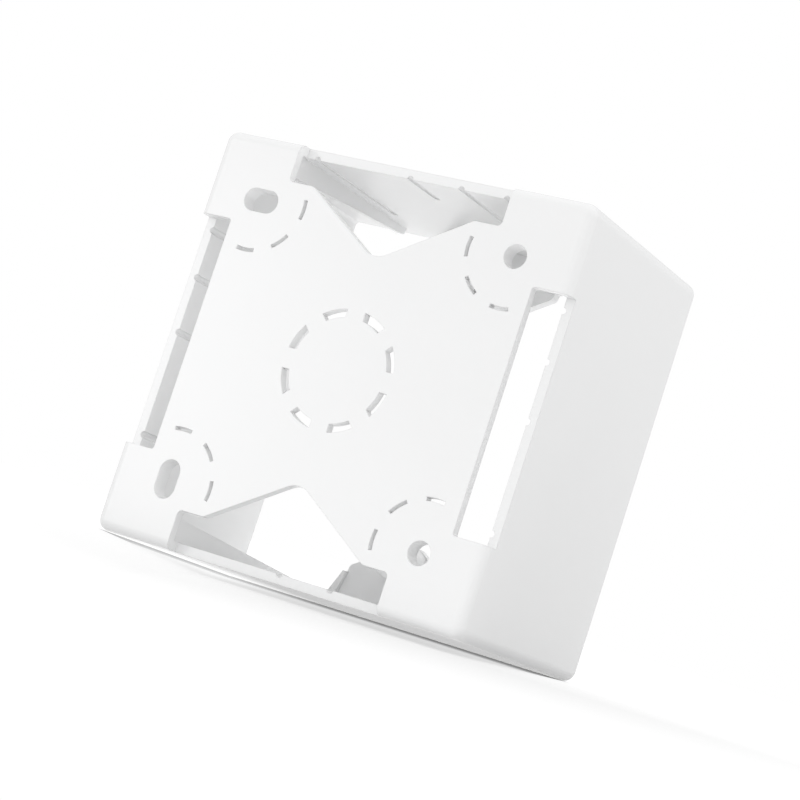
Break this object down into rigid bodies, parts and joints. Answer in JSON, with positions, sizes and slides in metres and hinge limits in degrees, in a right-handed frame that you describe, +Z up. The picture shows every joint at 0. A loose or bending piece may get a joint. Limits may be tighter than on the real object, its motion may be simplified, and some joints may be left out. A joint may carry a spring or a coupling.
{
  "type": "single gang back box",
  "caption": "Square open-fronted back box for a wall outlet, with vee cable entries, slotted fixing holes and dashed knock-out rings in its rear plate.",
  "frame": {"origin": "centre of the base: the middle of the side wall that the box stands on, at floor level", "axes": "+Y out of the open front, the rear plate faces -Y, +Z up, +X to the right seen from behind"},
  "size_m": [0.087, 0.056, 0.087],
  "materials": {
    "white_plastic": "white moulded plastic, satin"
  },
  "bodies": {
    "root": {"box_moulding": "white_plastic"}
  },
  "joints": []
}
